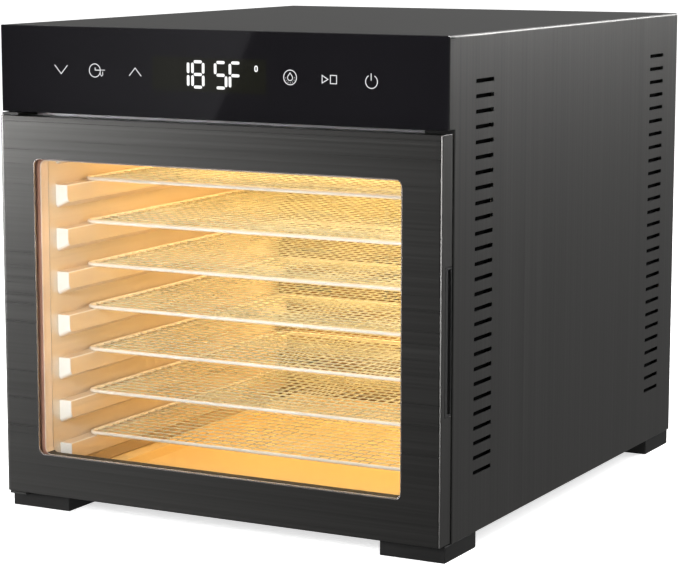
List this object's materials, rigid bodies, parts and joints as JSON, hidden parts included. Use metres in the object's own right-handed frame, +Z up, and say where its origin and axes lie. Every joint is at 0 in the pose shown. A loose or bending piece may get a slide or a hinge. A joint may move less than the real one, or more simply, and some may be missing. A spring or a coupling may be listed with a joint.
{
  "type": "food dehydrator",
  "caption": "Countertop food dehydrator: black brushed steel cabinet, touch panel, hinged glass door, wire racks on side ledges, rear fan and heater.",
  "frame": {"origin": "centre of the bounding box's underside, on the surface the feet stand on", "axes": "+Z up, +Y from the door to the back panel, which is the longest way, +X to the right seen from the front"},
  "size_m": [0.34, 0.414, 0.338],
  "materials": {
    "black_brushed_steel": "black coated steel, fine brushed grain, satin",
    "black_glass": "gloss black printed glass",
    "display_window": "smoked display window",
    "black_plastic": "fine textured black plastic",
    "black_rubber": "matt black rubber",
    "clear_glass": "clear tempered glass",
    "stainless_liner": "satin stainless sheet",
    "rack_chrome": "bright plated steel wire",
    "zinc_plate": "zinc plated steel",
    "circuit_board": "green circuit board",
    "silicone_gasket": "dark silicone",
    "motor_steel": "motor core steel",
    "heater_steel": "heat darkened sheathed element",
    "lamp_warm": "warm white lamp"
  },
  "bodies": {
    "cabinet": {"left_side_panel": "black_brushed_steel", "right_side_panel": "black_brushed_steel", "top_panel": "black_brushed_steel", "back_panel": "black_brushed_steel", "control_panel_glass": "black_glass", "display_module": "display_window", "front_frame": "black_plastic", "control_housing": "black_plastic", "hinge_plate_upper": "black_plastic", "hinge_plate_lower": "black_plastic", "foot_front_left": "black_rubber", "foot_front_right": "black_rubber", "foot_rear_left": "black_rubber", "foot_rear_right": "black_rubber", "cord_gland": "black_rubber", "wiring_harness": "black_rubber", "lamp_lens": "clear_glass", "chamber_left_wall": "stainless_liner", "chamber_right_wall": "stainless_liner", "chamber_ceiling": "stainless_liner", "chamber_floor": "stainless_liner", "mouth_flange": "stainless_liner", "rear_baffle": "stainless_liner", "base_plate": "zinc_plate", "back_screw_1": "zinc_plate", "back_screw_2": "zinc_plate", "back_screw_3": "zinc_plate", "back_screw_4": "zinc_plate", "lamp_holder": "zinc_plate", "door_magnet": "zinc_plate", "heater_clip_left": "zinc_plate", "heater_clip_right": "zinc_plate", "fan_plate": "zinc_plate", "temperature_probe": "zinc_plate", "touch_board": "circuit_board", "power_board": "circuit_board", "fan_motor": "motor_steel", "thermal_fuse": "motor_steel", "heater_ring": "heater_steel", "lamp_bulb": "lamp_warm"},
    "door": {"door_skin": "black_brushed_steel", "door_inner_frame": "black_plastic", "door_glass": "clear_glass", "door_gasket": "silicone_gasket", "handle_insert": "black_plastic", "door_strike": "zinc_plate", "hinge_pin_upper": "zinc_plate", "hinge_pin_lower": "zinc_plate"},
    "rack_1": {"rack_1": "rack_chrome"},
    "rack_2": {"rack_2": "rack_chrome"},
    "rack_3": {"rack_3": "rack_chrome"},
    "rack_4": {"rack_4": "rack_chrome"},
    "rack_5": {"rack_5": "rack_chrome"},
    "rack_6": {"rack_6": "rack_chrome"},
    "rack_7": {"rack_7": "rack_chrome"},
    "drip_tray": {"drip_tray": "stainless_liner"},
    "fan": {"fan_shaft": "zinc_plate", "fan_blades": "zinc_plate"}
  },
  "joints": [
    {"name": "door_hinge", "type": "hinge", "parent": "cabinet", "child": "door", "pos_m": [-0.161, -0.2005, 0.144], "axis": [0, 0, -1], "range_deg": [0, 150]},
    {"name": "rack_1_slide", "type": "slide", "parent": "cabinet", "child": "rack_1", "axis": [0, -1, 0], "range_m": [0, 0.04]},
    {"name": "rack_2_slide", "type": "slide", "parent": "cabinet", "child": "rack_2", "axis": [0, -1, 0], "range_m": [0, 0.04]},
    {"name": "rack_3_slide", "type": "slide", "parent": "cabinet", "child": "rack_3", "axis": [0, -1, 0], "range_m": [0, 0.04]},
    {"name": "rack_4_slide", "type": "slide", "parent": "cabinet", "child": "rack_4", "axis": [0, -1, 0], "range_m": [0, 0.04]},
    {"name": "rack_5_slide", "type": "slide", "parent": "cabinet", "child": "rack_5", "axis": [0, -1, 0], "range_m": [0, 0.04]},
    {"name": "rack_6_slide", "type": "slide", "parent": "cabinet", "child": "rack_6", "axis": [0, -1, 0], "range_m": [0, 0.04]},
    {"name": "rack_7_slide", "type": "slide", "parent": "cabinet", "child": "rack_7", "axis": [0, -1, 0], "range_m": [0, 0.04]},
    {"name": "drip_tray_slide", "type": "slide", "parent": "cabinet", "child": "drip_tray", "axis": [0, -1, 0], "range_m": [0, 0.03]},
    {"name": "fan_spin", "type": "hinge", "parent": "cabinet", "child": "fan", "pos_m": [0, 0.146, 0.147], "axis": [0, -1, 0], "continuous": true}
  ]
}
